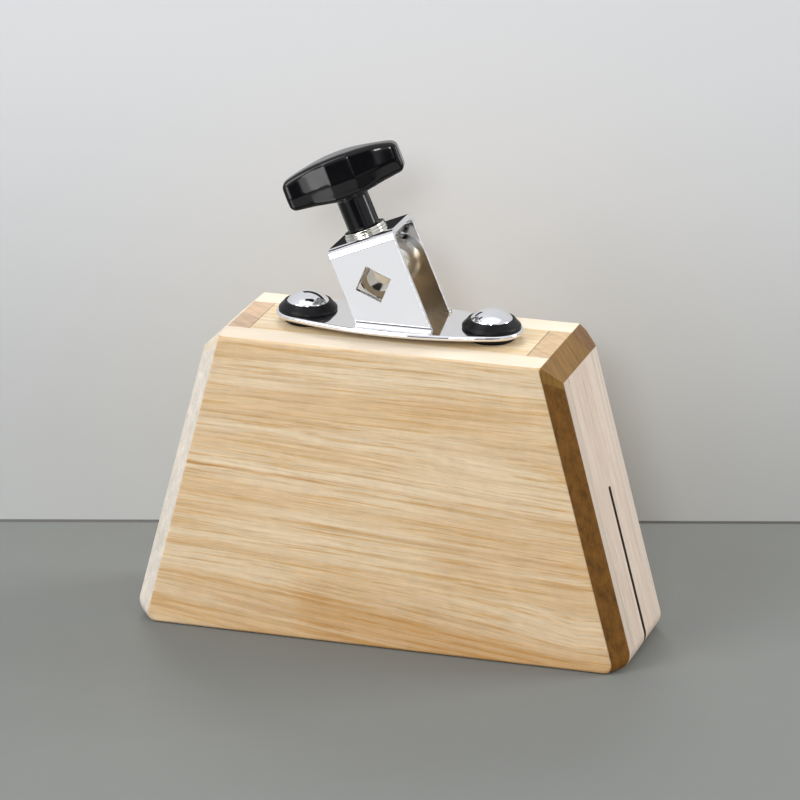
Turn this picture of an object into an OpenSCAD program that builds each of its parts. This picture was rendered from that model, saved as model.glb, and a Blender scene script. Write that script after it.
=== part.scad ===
// Wood block with a tilted rod clamp on top.
// A hollow ash box on a trapezoid outline carries a chromed plate. On the plate
// stands a strap bent to an upside-down U, and an eye bolt inside it is drawn up
// by a black T-handle to grip a holder rod.
// Frame: origin at the middle of the underside, X to the right across the width,
// Y to the back, Z up. The front face looks towards -Y. Millimetres.

/* [Block] */
// Width across the underside
block_base_w = 190; // [165:1:230]
// Width across the top before its two corners are cut
block_top_w = 131; // [120:1:150]
// Height of the wooden block
block_h = 113; // [95:1:140]
// Depth from front face to back face
block_d = 54; // [50:1:70]
// Thickness of the front and back panels
panel_t = 12; // [8:0.5:15]
// Thickness of the slanted side rails
rail_t = 13; // [9:0.5:18]
// Thickness of the board under the clamp
top_board_t = 13; // [9:0.5:18]
// Thickness of the bottom board
bottom_board_t = 11; // [7:0.5:16]
// Width of the flats planed along the front face's slanted edges
front_chamfer = 6; // [2:0.5:8]
// Width of the flats planed along the back face's slanted edges
back_chamfer = 4.5; // [2:0.5:8]
// How far the cut at each top corner runs along the top
corner_cut_w = 5.5; // [2:0.5:8]
// How far the cut at each top corner runs down the side
corner_cut_h = 6.5; // [3:0.5:12]
// Radius of the two bottom corners
foot_r = 6; // [2:0.5:8]
// Width of the saw slot that opens the sound chamber
slot_w = 1.8; // [1:0.1:3]
// Height of the slot above the underside
slot_h = 61.5; // [40:0.5:70]

/* [Plate] */
// Distance between the two bolts
bolt_spacing = 69; // [64:0.5:76]
// Radius of the plate's ends
plate_end_r = 11.5; // [10.5:0.25:12.5]
// Width of the plate across its middle
plate_w = 34.5; // [32:0.5:38]
// Thickness of the plate
plate_t = 2; // [1.5:0.1:3]
// Thickness of the rubber spacers that hold the plate off the wood
spacer_t = 2.3; // [1.5:0.1:3]
// Radius of the rubber spacers
spacer_r = 10.4; // [8:0.2:10.4]

/* [Bolts and rings] */
// Diameter of the bolts' shanks
bolt_d = 6; // [5:0.5:6]
// Diameter of the domed bolt heads
dome_d = 15.4; // [13:0.2:16]
// Height of the dome above its rim
dome_h = 3.6; // [2.5:0.1:4.5]
// Height of the rim under the dome
dome_rim_h = 0.6; // [0.3:0.1:1.2]
// Outer radius of the rubber rings under the heads
ring_r = 10.7; // [9.8:0.1:11]
// Height of the rubber rings
ring_h = 3.8; // [3.3:0.1:5]
// Radius of the rings' rounded shoulder
ring_shoulder_r = 2.7; // [1:0.1:2.7]
// Depth of the seat that takes the head's rim
ring_seat_h = 1; // [0.6:0.1:1.6]
// Diameter of the T-nuts' flange inside the chamber
nut_flange_d = 18; // [14:0.5:20]
// Thickness of the T-nuts' flange
nut_flange_t = 1.5; // [1:0.1:2.5]
// Diameter of the T-nuts' barrel in the top board
nut_barrel_d = 8; // [7.5:0.1:10]
// Length of the T-nuts' barrel
nut_barrel_h = 8; // [5:0.5:8.5]
// How far the bolts' ends pass the T-nuts
bolt_past = 2; // [0.5:0.5:6]

/* [Clamp strap] */
// Tilt of the clamp's axis to the left of upright, in degrees
clamp_lean = 22.8; // [12:0.2:28]
// Place across the plate where the clamp's axis starts
clamp_x = 0.6; // [-3:0.1:3]
// How far the strap's middle stands to the right of the clamp's axis
strap_shift = 1; // [-2:0.1:2]
// Width of the strap
strap_w = 26; // [22:0.2:30]
// Depth over the strap's two walls
strap_d = 24.5; // [22:0.5:28]
// Thickness of the strap
strap_t = 2; // [1.5:0.1:2.5]
// Height of the strap's top along the clamp's axis
strap_h = 33.7; // [32:0.1:38]
// Outer radius of the strap's two bends
strap_bend_r = 3.5; // [2.8:0.1:5]
// Size of the weld beads along the strap's feet
weld_w = 1.5; // [0.8:0.1:2]
// Side of the square rod windows in the strap
window_side = 10; // [10:0.1:11]
// Height of the windows' middle and the eye along the clamp's axis
window_h = 17.1; // [16:0.1:18.5]

/* [Eye bolt] */
// Radius of the eye's bore for the rod
eye_bore_r = 5; // [4.8:0.05:5]
// Outer radius of the eye
eye_r = 8.4; // [7.8:0.1:8.8]
// Width of the eye along the rod
eye_w = 8; // [6:0.5:10]
// Edge break on the eye's outer corners
eye_break = 1.2; // [0.4:0.1:1.5]
// Diameter of the threaded stem
stem_d = 6; // [5.5:0.1:6.4]
// Diameter of the neck between eye and stem
neck_d = 8.6; // [7:0.1:10]
// Length of the neck's cone above the eye
neck_h = 1.6; // [0.8:0.1:2]
// Length of stem that stands in the handle
stem_in = 9; // [7.5:0.5:10]

/* [Washers] */
// Outer diameter of the flat washer
flat_washer_d = 15.8; // [14:0.1:19]
// Thickness of the flat washer
flat_washer_t = 1; // [0.8:0.1:2]
// Outer diameter of the spring washer
spring_washer_d = 15.2; // [12:0.1:16]
// Thickness of the spring washer
spring_washer_t = 1.1; // [0.8:0.1:2]
// Diameter of the washers' holes
washer_hole_d = 6.7; // [6.6:0.1:7]
// Width of the spring washer's split
washer_split = 0.7; // [0.4:0.1:1.2]

/* [T-handle] */
// Turn of the bar from the width direction, in degrees
bar_turn = 14.5; // [0:0.5:45]
// Length of the bar over its ends
bar_l = 44; // [36:0.5:50]
// Height of the bar at its ends
bar_end_h = 10.6; // [8:0.2:12]
// How far the bar's top rises from the ends to the middle
bar_crown = 3.2; // [1:0.1:4]
// How far the bar's underside drops from the ends to the sleeve
bar_drop = 2.4; // [1:0.1:4]
// Depth of the bar at the hub
hub_d = 15; // [13.5:0.5:17]
// Depth of the bar across its grips
grip_d = 9.6; // [8:0.2:11]
// Depth of the bar at its rounded ends
tip_d = 10.4; // [9:0.2:12]
// Height of the mould's parting line, where the bar is widest
parting_h = 7; // [6:0.1:8]
// Lean of the bar's flanks away from the parting line, in degrees
bar_draft = 7; // [4:0.5:9]
// Rounding along the bar's upper and lower edges
bar_edge_r = 1.9; // [1:0.1:2.2]
// Rounding of the bar's end corners
tip_r = 2.2; // [1:0.1:2.8]
// Diameter of the sleeve under the bar
sleeve_d = 11.8; // [10.6:0.2:13]
// Length of the sleeve under the bar
sleeve_l = 12.2; // [9:0.2:14]
// Outer diameter of the steel thread insert
insert_d = 8.6; // [8:0.1:9]
// Length of the thread insert
insert_l = 11; // [9.5:0.5:12]
// Depth of the bar's blind hole above the insert
blind_h = 4.6; // [4.6:0.1:6]

/* [Hidden] */
// Overrun for clean cuts
over = 1;
// Gap round a shank in a plain hole
shank_gap = 0.3;
// Gap round the stem in its thread
thread_gap = 0.05;
// Gap round a head in its seat
seat_gap = 0.1;
// Parts of the bar's half length: end of the hub, start of the grip, start of the tip
bar_shares = [0.21, 0.61, 0.82];
// Part of an edge's rounding that is left at the bar's ends
tip_edge_share = 0.2;
// Steps in an edge's rounding, in a tip's rounding and between two marks along the bar
edge_steps = 4;
tip_steps = 5;
mark_steps = 4;
$fn = 64;

// Shape of the block's slanted sides
side_lean = atan((block_base_w - block_top_w) / 2 / block_h);
foot_reach = foot_r / tan((90 - side_lean) / 2);
rail_across = rail_t / cos(side_lean);
front_y = -block_d / 2;
back_y = block_d / 2;
chamber_front_y = front_y + panel_t;
chamber_back_y = back_y - panel_t;

// Levels of the fittings above the wood
bolt_x = bolt_spacing / 2;
board_z = block_h - top_board_t;
plate_z = block_h + spacer_t;
plate_top = plate_z + plate_t;
ring_seat_z = plate_top + ring_h - ring_seat_h;
nut_z = board_z - nut_flange_t;

// Arc that bounds the plate's long sides
plate_bulge = plate_w / 2 - plate_end_r;
plate_arc_back = (bolt_x * bolt_x - plate_bulge * plate_bulge) / 2 / plate_bulge;
plate_arc_r = plate_w / 2 + plate_arc_back;
plate_tangent_x = bolt_x + plate_end_r * bolt_x / (plate_arc_r - plate_end_r);

// Levels along the clamp's tilted axis
flat_washer_n = strap_h;
spring_washer_n = flat_washer_n + flat_washer_t;
sleeve_n = spring_washer_n + spring_washer_t;
bar_n = sleeve_n + sleeve_l;
stem_top_n = sleeve_n + stem_in;
foot_below = (strap_w / 2 + abs(strap_shift)) * tan(clamp_lean) + over;
strap_foot_x = clamp_x + strap_shift / cos(clamp_lean);
inner_d = strap_d - 2 * strap_t;
inner_h = strap_h - strap_t;
inner_bend_r = strap_bend_r - strap_t;
eye_mid_r = (eye_bore_r + eye_r) / 2;
bar_half = bar_l / 2;
crown_r = (bar_half * bar_half + bar_crown * bar_crown) / 2 / bar_crown;

// Half width of the block at a height above its underside
function side_x(z) = block_base_w / 2 - z * tan(side_lean);

// Points of an arc about a centre, from one angle to another
function arc(c, r, a0, a1, steps) = [
    for (i = [0 : steps]) c + r * [cos(a0 + (a1 - a0) * i / steps), sin(a0 + (a1 - a0) * i / steps)]
];

// Front view of the block: trapezoid with cut top corners and rounded feet
module block_outline() {
    polygon([
        [-block_base_w / 2 + foot_reach, 0],
        [block_base_w / 2 - foot_reach, 0],
        [side_x(foot_reach * cos(side_lean)), foot_reach * cos(side_lean)],
        [side_x(block_h - corner_cut_h), block_h - corner_cut_h],
        [side_x(block_h) - corner_cut_w, block_h],
        [-side_x(block_h) + corner_cut_w, block_h],
        [-side_x(block_h - corner_cut_h), block_h - corner_cut_h],
        [-side_x(foot_reach * cos(side_lean)), foot_reach * cos(side_lean)]
    ]);
    for (s = [-1, 1])
        translate([s * (block_base_w / 2 - foot_reach), foot_r])
            circle(r = foot_r);
}

// Stands a front view up and gives it depth from y0 to y1
module slab(y0, y1) {
    translate([0, y1, 0])
        rotate([90, 0, 0])
            linear_extrude(y1 - y0)
                children();
}

// The 45-degree flats along the slanted edges of the front and back faces
module edge_flats() {
    for (s = [-1, 1])
        translate([s * block_base_w / 2, 0, 0])
            rotate([0, -s * side_lean, 0]) {
                translate([0, front_y, block_h / 2])
                    rotate([0, 0, 45])
                        cube([front_chamfer * sqrt(2), front_chamfer * sqrt(2), 2 * block_h], center = true);
                translate([0, back_y, block_h / 2])
                    rotate([0, 0, 45])
                        cube([back_chamfer * sqrt(2), back_chamfer * sqrt(2), 2 * block_h], center = true);
            }
}

// Front and back panels run over the whole outline
module panel(y0, y1) {
    color([0.85, 0.72, 0.52])
        difference() {
            slab(y0, y1) block_outline();
            edge_flats();
        }
}

module front_panel() {
    panel(front_y, chamber_front_y);
}

module back_panel() {
    panel(chamber_back_y, back_y);
}

// Front view of the strip that a side rail fills, on the right (1) or left (-1)
module rail_strip(s) {
    polygon([
        [s * (side_x(-over) - rail_across), -over],
        [s * (side_x(-over) + over), -over],
        [s * (side_x(block_h + over) + over), block_h + over],
        [s * (side_x(block_h + over) - rail_across), block_h + over]
    ]);
}

// Side rail with the saw slot through its lower half
module rail(s) {
    color([0.88, 0.76, 0.6])
        difference() {
            slab(chamber_front_y, chamber_back_y)
                intersection() {
                    block_outline();
                    rail_strip(s);
                }
            translate([s * block_base_w / 2, 0, (slot_h - over) / 2])
                cube([block_base_w, slot_w, slot_h + over], center = true);
        }
}

module left_rail() {
    rail(-1);
}

module right_rail() {
    rail(1);
}

// Front view of a board that fits between the rails, from height z0 to z1
module board_outline(z0, z1) {
    polygon([
        [rail_across - side_x(z0), z0],
        [side_x(z0) - rail_across, z0],
        [side_x(z1) - rail_across, z1],
        [rail_across - side_x(z1), z1]
    ]);
}

// Board under the clamp, drilled for the bolts and the T-nuts' barrels
module top_board() {
    color([0.9, 0.8, 0.62])
        difference() {
            slab(chamber_front_y, chamber_back_y) board_outline(board_z, block_h);
            for (s = [-1, 1])
                translate([s * bolt_x, 0, 0]) {
                    translate([0, 0, board_z - over])
                        cylinder(d = nut_barrel_d, h = nut_barrel_h + over);
                    translate([0, 0, board_z])
                        cylinder(d = bolt_d + 2 * shank_gap, h = top_board_t + over);
                }
        }
}

// The slot parts the bottom board into two strips
module bottom_strip_front() {
    color([0.86, 0.74, 0.55])
        slab(chamber_front_y, -slot_w / 2) board_outline(0, bottom_board_t);
}

module bottom_strip_back() {
    color([0.86, 0.74, 0.55])
        slab(slot_w / 2, chamber_back_y) board_outline(0, bottom_board_t);
}

// Plan of the plate: two long arcs that run smoothly into the round ends
module plate_outline() {
    intersection() {
        translate([0, -plate_arc_back]) circle(r = plate_arc_r);
        translate([0, plate_arc_back]) circle(r = plate_arc_r);
        square([2 * plate_tangent_x, plate_w], center = true);
    }
    for (s = [-1, 1])
        translate([s * bolt_x, 0])
            circle(r = plate_end_r);
}

module base_plate() {
    color([0.8, 0.81, 0.84])
        difference() {
            translate([0, 0, plate_z])
                linear_extrude(plate_t)
                    plate_outline();
            for (s = [-1, 1])
                translate([s * bolt_x, 0, plate_z - over])
                    cylinder(d = bolt_d + 2 * shank_gap, h = plate_t + 2 * over);
        }
}

// Puts a piece on the clamp's tilted axis
module on_clamp_axis() {
    translate([clamp_x, 0, plate_top])
        rotate([0, -clamp_lean, 0])
            children();
}

// Side view of a wall with two bent shoulders
module bent_profile(w, h, r) {
    translate([-w / 2, -foot_below])
        square([w, h - r + foot_below]);
    translate([r - w / 2, 0])
        square([w - 2 * r, h]);
    for (s = [-1, 1])
        translate([s * (w / 2 - r), h - r])
            circle(r = r);
}

// Strap bent to an upside-down U, welded to the plate along both feet
module clamp_strap() {
    color([0.82, 0.83, 0.86]) {
        difference() {
            on_clamp_axis()
                difference() {
                    translate([strap_shift, 0, 0])
                        rotate([90, 0, 90])
                            linear_extrude(strap_w, center = true)
                                difference() {
                                    bent_profile(strap_d, strap_h, strap_bend_r);
                                    translate([0, -over])
                                        bent_profile(inner_d, inner_h + over, inner_bend_r);
                                }
                    translate([0, 0, window_h])
                        rotate([0, 45, 0])
                            cube([window_side, strap_d + 2 * over, window_side], center = true);
                    translate([0, 0, strap_h - strap_t - over])
                        cylinder(d = stem_d + 2 * shank_gap, h = strap_t + 2 * over);
                }
            translate([strap_foot_x, 0, plate_top - 2 * foot_below])
                cube([3 * strap_w, 3 * strap_d, 4 * foot_below], center = true);
        }
        for (s = [-1, 1])
            translate([strap_foot_x, 0, plate_top])
                rotate([90, 0, 90])
                    linear_extrude(strap_w / cos(clamp_lean), center = true)
                        polygon([
                            [s * (strap_d - strap_t) / 2, 0],
                            [s * (strap_d / 2 + weld_w), 0],
                            [s * strap_d / 2, weld_w],
                            [s * (strap_d - strap_t) / 2, weld_w]
                        ]);
    }
}

// Eye with a bore along Y on a threaded stem
module eye_bolt() {
    color([0.74, 0.75, 0.78])
        on_clamp_axis()
            difference() {
                union() {
                    translate([0, 0, window_h])
                        rotate([90, 0, 0])
                            rotate_extrude()
                                polygon([
                                    [0, -eye_w / 2],
                                    [eye_r - eye_break, -eye_w / 2],
                                    [eye_r, eye_break - eye_w / 2],
                                    [eye_r, eye_w / 2 - eye_break],
                                    [eye_r - eye_break, eye_w / 2],
                                    [0, eye_w / 2]
                                ]);
                    translate([0, 0, window_h + eye_mid_r])
                        cylinder(d = stem_d, h = stem_top_n - window_h - eye_mid_r);
                    translate([0, 0, window_h + sqrt(eye_r * eye_r - eye_w * eye_w / 4)])
                        cylinder(d1 = neck_d, d2 = stem_d, h = neck_h);
                }
                translate([0, 0, window_h])
                    rotate([90, 0, 0])
                        cylinder(r = eye_bore_r, h = eye_w + 2 * over, center = true);
            }
}

module flat_washer() {
    color([0.85, 0.84, 0.78])
        on_clamp_axis()
            translate([0, 0, flat_washer_n])
                difference() {
                    cylinder(d = flat_washer_d, h = flat_washer_t);
                    translate([0, 0, -over])
                        cylinder(d = washer_hole_d, h = flat_washer_t + 2 * over);
                }
}

// Spring washer, closed up, with its split at the back
module spring_washer() {
    color([0.83, 0.81, 0.74])
        on_clamp_axis()
            translate([0, 0, spring_washer_n])
                difference() {
                    cylinder(d = spring_washer_d, h = spring_washer_t);
                    translate([0, 0, -over])
                        cylinder(d = washer_hole_d, h = spring_washer_t + 2 * over);
                    translate([-washer_split / 2, 0, -over])
                        cube([washer_split, spring_washer_d, spring_washer_t + 2 * over]);
                }
}

// Half depth of the bar at its parting line: thick hub, waisted grips, fuller tips
function bar_w(x) = lookup(abs(x), [
    [bar_half * bar_shares[0], hub_d / 2],
    [bar_half * bar_shares[1], grip_d / 2],
    [bar_half * bar_shares[2], grip_d / 2],
    [bar_half, tip_d / 2]
]);

// Levels of the bar's underside, which drops to the sleeve, and of its crowned top
function bar_low(x) = lookup(abs(x), [[bar_half * bar_shares[0], 0], [bar_half, bar_drop]]);
function bar_high(x) = bar_drop + bar_end_h + bar_crown - crown_r + sqrt(crown_r * crown_r - x * x);

// Places of the bar's cross-sections from tip to tip, each with its inset for the tips' rounding
bar_marks = concat(
    [tip_r - bar_half],
    [for (i = [2 : -1 : 0]) -bar_half * bar_shares[i]],
    [for (i = [0 : 2]) bar_half * bar_shares[i]],
    [bar_half - tip_r]
);
tip_arc = arc([0, 0], tip_r, 0, 90, tip_steps);
bar_stations = concat(
    [for (p = tip_arc) [tip_r - bar_half - p[0], tip_r - p[1]]],
    [
        for (i = [0 : len(bar_marks) - 2], k = [(i == 0 ? 1 : 0) : mark_steps - 1])
            [bar_marks[i] + (bar_marks[i + 1] - bar_marks[i]) * k / mark_steps, 0]
    ],
    [for (i = [tip_steps : -1 : 0]) [bar_half - tip_r + tip_arc[i][0], tip_r - tip_arc[i][1]]]
);

// One side of a cross-section, from the underside over the parting line to the top
function bar_flank(x, inset) =
    let (
        r = max(bar_edge_r - inset, bar_edge_r * tip_edge_share),
        low = bar_low(x) + inset,
        high = bar_high(x) - inset,
        w = bar_w(x) - inset,
        at_low = w - (parting_h - low) * tan(bar_draft) - r,
        at_high = w - (high - parting_h) * tan(bar_draft) - r
    )
    concat(
        arc([at_low, low + r], r, -90, -bar_draft, edge_steps),
        [[w, parting_h]],
        arc([at_high, high - r], r, bar_draft, 90, edge_steps)
    );

// Moulded bar, drawn through its cross-sections
module bar() {
    rings = [
        for (s = bar_stations)
            let (flank = bar_flank(s[0], s[1]))
                concat(
                    [for (p = flank) [s[0], p[0], p[1]]],
                    [for (i = [len(flank) - 1 : -1 : 0]) [s[0], -flank[i][0], flank[i][1]]]
                )
    ];
    n = len(rings[0]);
    last = len(rings) - 1;
    polyhedron(
        points = [for (ring = rings, p = ring) p],
        faces = concat(
            [[for (k = [0 : n - 1]) k]],
            [for (j = [0 : last - 1], k = [0 : n - 1]) [j, j + 1, j + 1] * n + [k, k, (k + 1) % n]],
            [for (j = [0 : last - 1], k = [0 : n - 1]) [j, j + 1, j] * n + [k, (k + 1) % n, (k + 1) % n]],
            [[for (k = [n - 1 : -1 : 0]) last * n + k]]
        )
    );
}

// Moulded T-handle: bar and sleeve, hollow for the insert and the stem's end
module t_handle() {
    color([0.08, 0.08, 0.09])
        on_clamp_axis()
            rotate([0, 0, bar_turn])
                difference() {
                    union() {
                        translate([0, 0, bar_n])
                            bar();
                        translate([0, 0, sleeve_n])
                            cylinder(d = sleeve_d, h = sleeve_l + bar_drop);
                    }
                    translate([0, 0, sleeve_n - over])
                        cylinder(d = insert_d, h = insert_l + over);
                    translate([0, 0, sleeve_n])
                        cylinder(d = stem_d + 2 * shank_gap, h = insert_l + blind_h);
                }
}

// Steel insert that carries the handle's thread
module thread_insert() {
    color([0.72, 0.7, 0.64])
        on_clamp_axis()
            translate([0, 0, sleeve_n])
                difference() {
                    cylinder(d = insert_d, h = insert_l);
                    translate([0, 0, -over])
                        cylinder(d = stem_d + 2 * thread_gap, h = insert_l + 2 * over);
                }
}

// Bolt with a smooth domed head
module dome_bolt(s) {
    dome_r = (dome_d * dome_d / 4 + dome_h * dome_h) / 2 / dome_h;
    shank_end = nut_z - bolt_past;
    color([0.85, 0.86, 0.89])
        translate([s * bolt_x, 0, 0]) {
            translate([0, 0, ring_seat_z])
                cylinder(d = dome_d, h = dome_rim_h);
            intersection() {
                translate([0, 0, ring_seat_z + dome_rim_h + dome_h - dome_r])
                    sphere(r = dome_r);
                translate([0, 0, ring_seat_z + dome_rim_h])
                    cylinder(d = dome_d, h = dome_h + over);
            }
            translate([0, 0, shank_end])
                cylinder(d = bolt_d, h = ring_seat_z + dome_rim_h - shank_end);
        }
}

module dome_bolt_left() {
    dome_bolt(-1);
}

module dome_bolt_right() {
    dome_bolt(1);
}

// Rubber ring with a rounded shoulder and a seat for the head
module bolt_ring(s) {
    color([0.05, 0.05, 0.06])
        translate([s * bolt_x, 0, plate_top])
            difference() {
                rotate_extrude() {
                    square([ring_r - ring_shoulder_r, ring_h]);
                    square([ring_r, ring_h - ring_shoulder_r]);
                    translate([ring_r - ring_shoulder_r, ring_h - ring_shoulder_r])
                        intersection() {
                            circle(r = ring_shoulder_r);
                            square([ring_shoulder_r, ring_shoulder_r]);
                        }
                }
                translate([0, 0, ring_h - ring_seat_h])
                    cylinder(d = dome_d + 2 * seat_gap, h = ring_seat_h + over);
                translate([0, 0, -over])
                    cylinder(d = bolt_d + 2 * shank_gap, h = ring_h + 2 * over);
            }
}

module bolt_ring_left() {
    bolt_ring(-1);
}

module bolt_ring_right() {
    bolt_ring(1);
}

// Rubber spacer between the wood and the plate
module plate_spacer(s) {
    color([0.07, 0.07, 0.07])
        translate([s * bolt_x, 0, block_h])
            difference() {
                cylinder(r = spacer_r, h = spacer_t);
                translate([0, 0, -over])
                    cylinder(d = bolt_d + 2 * shank_gap, h = spacer_t + 2 * over);
            }
}

module plate_spacer_left() {
    plate_spacer(-1);
}

module plate_spacer_right() {
    plate_spacer(1);
}

// T-nut pressed into the board from inside the chamber
module t_nut(s) {
    color([0.7, 0.7, 0.72])
        translate([s * bolt_x, 0, nut_z])
            difference() {
                union() {
                    cylinder(d = nut_flange_d, h = nut_flange_t);
                    cylinder(d = nut_barrel_d, h = nut_flange_t + nut_barrel_h);
                }
                translate([0, 0, -over])
                    cylinder(d = bolt_d + 2 * thread_gap, h = nut_flange_t + nut_barrel_h + 2 * over);
            }
}

module t_nut_left() {
    t_nut(-1);
}

module t_nut_right() {
    t_nut(1);
}

front_panel();
back_panel();
left_rail();
right_rail();
top_board();
bottom_strip_front();
bottom_strip_back();
base_plate();
clamp_strap();
eye_bolt();
flat_washer();
spring_washer();
t_handle();
thread_insert();
dome_bolt_left();
dome_bolt_right();
bolt_ring_left();
bolt_ring_right();
plate_spacer_left();
plate_spacer_right();
t_nut_left();
t_nut_right();
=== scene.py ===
# Looks of an ash wood block with a chromed, tilted rod clamp on top.
# Everything is in metres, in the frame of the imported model: X right, Y back, Z up.
# The file follows the object from the block's panels up to the T-handle.

import math

import bmesh
import bpy
from mathutils import Matrix, Vector


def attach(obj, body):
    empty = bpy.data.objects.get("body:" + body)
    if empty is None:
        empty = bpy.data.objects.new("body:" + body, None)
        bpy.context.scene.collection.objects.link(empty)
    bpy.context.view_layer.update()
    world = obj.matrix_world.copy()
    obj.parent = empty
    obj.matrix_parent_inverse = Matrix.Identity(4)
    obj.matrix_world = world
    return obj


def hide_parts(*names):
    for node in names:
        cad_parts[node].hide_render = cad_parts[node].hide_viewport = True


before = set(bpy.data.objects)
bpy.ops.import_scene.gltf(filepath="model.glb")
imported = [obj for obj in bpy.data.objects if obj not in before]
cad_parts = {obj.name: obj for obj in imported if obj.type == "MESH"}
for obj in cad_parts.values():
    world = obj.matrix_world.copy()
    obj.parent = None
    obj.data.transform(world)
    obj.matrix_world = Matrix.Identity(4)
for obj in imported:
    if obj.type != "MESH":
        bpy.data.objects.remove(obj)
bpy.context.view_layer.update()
scene = bpy.context.scene
scene.view_settings.view_transform = "Standard"
mm = 0.001

# Camera. A long lens about two metres away, to the front right and a little
# above, which is where the edges of the block say that the picture was taken.

view_azimuth = math.radians(17.1915)
view_elevation = math.radians(19.2005)
view_roll = math.radians(0.1535)
view_distance = 1.94108
view_target = Vector((0.0003, 0, 0.086085))
view_lens = 241.95

to_camera = Vector((
    math.sin(view_azimuth) * math.cos(view_elevation),
    -math.cos(view_azimuth) * math.cos(view_elevation),
    math.sin(view_elevation),
))
level_right = (-to_camera).cross(Vector((0, 0, 1))).normalized()
level_up = level_right.cross(-to_camera)
picture_right = level_right * math.cos(view_roll) + level_up * math.sin(view_roll)
picture_up = level_up * math.cos(view_roll) - level_right * math.sin(view_roll)

lens = bpy.data.cameras.new("camera")
lens.lens = view_lens
lens.sensor_width = 36
lens.clip_start = 0.05
lens.clip_end = 50
camera = bpy.data.objects.new("camera", lens)
camera.matrix_world = Matrix.Translation(view_target + to_camera * view_distance) @ Matrix(
    (picture_right, picture_up, to_camera)
).transposed().to_4x4()
scene.collection.objects.link(camera)
scene.camera = camera

# Floor and wall. A plain grey floor and, a hand behind the block, a pale
# wall that squarely faces the camera. The wall is painted darker towards its foot
# as shade, and a thin dark band of painted shade runs along its foot. From behind,
# the wall lets the eye through.

floor_grey = (0.225, 0.232, 0.222, 1)
wall_grey = (0.84, 0.855, 0.885, 1)
# Painted shade: the wall's colour low down and in the band along its foot.
wall_low_painted_shade = (0.60, 0.614, 0.614, 1)
wall_foot_line_painted_shade = (0.22, 0.22, 0.22, 1)
speckle_shade = 0.975
floor_reach = 6
floor_drop = 0.2 * mm
wall_behind = 0.104
wall_half_width = 0.9
wall_height = 1.1
wall_fade_height = 0.22
wall_foot_line_mark = (0.77 * mm, 1.1 * mm)


def place_node(tree, kind, inputs=None, **settings):
    """Adds a shader node, sets it up and joins or fills its inputs."""
    made = tree.nodes.new(kind)
    for name, value in settings.items():
        setattr(made, name, value)
    for name, value in (inputs or {}).items():
        if isinstance(value, bpy.types.NodeSocket):
            tree.links.new(value, made.inputs[name])
        else:
            made.inputs[name].default_value = value
    return made


def empty_material(name):
    """A new material with an output and nothing else."""
    made = bpy.data.materials.new(name)
    made.use_nodes = True
    made.node_tree.nodes.clear()
    made.node_tree.nodes.new("ShaderNodeOutputMaterial")
    return made, made.node_tree


def finish_material(tree, surface):
    tree.links.new(surface, tree.nodes["Material Output"].inputs["Surface"])


def mix_colour(tree, factor, a, b, blend="MIX"):
    made = place_node(tree, "ShaderNodeMix", {0: factor}, data_type="RGBA", blend_type=blend)
    for index, value in ((6, a), (7, b)):
        if isinstance(value, bpy.types.NodeSocket):
            tree.links.new(value, made.inputs[index])
        else:
            made.inputs[index].default_value = value
    return made.outputs[2]


def ramp(tree, value, low, high, to_low=0.0, to_high=1.0, kind="SMOOTHSTEP"):
    """A value carried from one range to another."""
    return place_node(tree, "ShaderNodeMapRange", {
        "Value": value, "From Min": low, "From Max": high, "To Min": to_low, "To Max": to_high},
        interpolation_type=kind).outputs[0]


def card(name, corners, material):
    """A flat four-cornered stage piece."""
    mesh = bpy.data.meshes.new(name)
    mesh.from_pydata([Vector(c) for c in corners], [], [(0, 1, 2, 3)])
    mesh.update()
    mesh.materials.append(material)
    made = bpy.data.objects.new(name, mesh)
    scene.collection.objects.link(made)
    return made


paper, tree = empty_material("floor_paper")
speckle = place_node(tree, "ShaderNodeTexNoise", {"Scale": 900, "Detail": 2}).outputs["Fac"]
darker_grey = (*[speckle_shade * c for c in floor_grey[:3]], 1)
finish_material(tree, place_node(tree, "ShaderNodeBsdfDiffuse", {
    "Color": mix_colour(tree, speckle, darker_grey, floor_grey)}).outputs[0])
card("floor", [
    (-floor_reach, -floor_reach, -floor_drop), (floor_reach, -floor_reach, -floor_drop),
    (floor_reach, floor_reach, -floor_drop), (-floor_reach, floor_reach, -floor_drop)], paper)

wall_paint, tree = empty_material("wall_paint")
height = place_node(tree, "ShaderNodeSeparateXYZ", {
    0: place_node(tree, "ShaderNodeTexCoord").outputs["Object"]}).outputs["Z"]
# Painted shade: the wall's colour darkens towards its foot.
wall_tone = mix_colour(tree, ramp(tree, height, 0, wall_fade_height), wall_low_painted_shade, wall_grey)
# A thin band of painted shade along the wall's foot, where it meets the floor.
above_foot_line = ramp(tree, height, *wall_foot_line_mark)
wall_tone = mix_colour(tree, above_foot_line, wall_foot_line_painted_shade, wall_tone)
wall_face = place_node(tree, "ShaderNodeBsdfDiffuse", {"Color": wall_tone})
wall_back = place_node(tree, "ShaderNodeBsdfTransparent")
finish_material(tree, place_node(tree, "ShaderNodeMixShader", {
    0: place_node(tree, "ShaderNodeNewGeometry").outputs["Backfacing"],
    1: wall_face.outputs[0], 2: wall_back.outputs[0]}).outputs[0])
away_from_camera = Vector((-math.sin(view_azimuth), math.cos(view_azimuth), 0))
wall_foot = Vector((view_target.x, 0, -2 * floor_drop)) + away_from_camera * wall_behind
along = level_right * wall_half_width
rise = Vector((0, 0, wall_height))
wall = card("wall", [
    wall_foot - along, wall_foot + along, wall_foot + along + rise, wall_foot - along + rise], wall_paint)
wall.visible_shadow = False

# Light. A large softbox at the front left, one at the back right, one above the
# plate and one beside the camera, in an evenly lit room. Cards that only reflections
# show stand in for the studio around the chrome and the black plastic.

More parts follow.
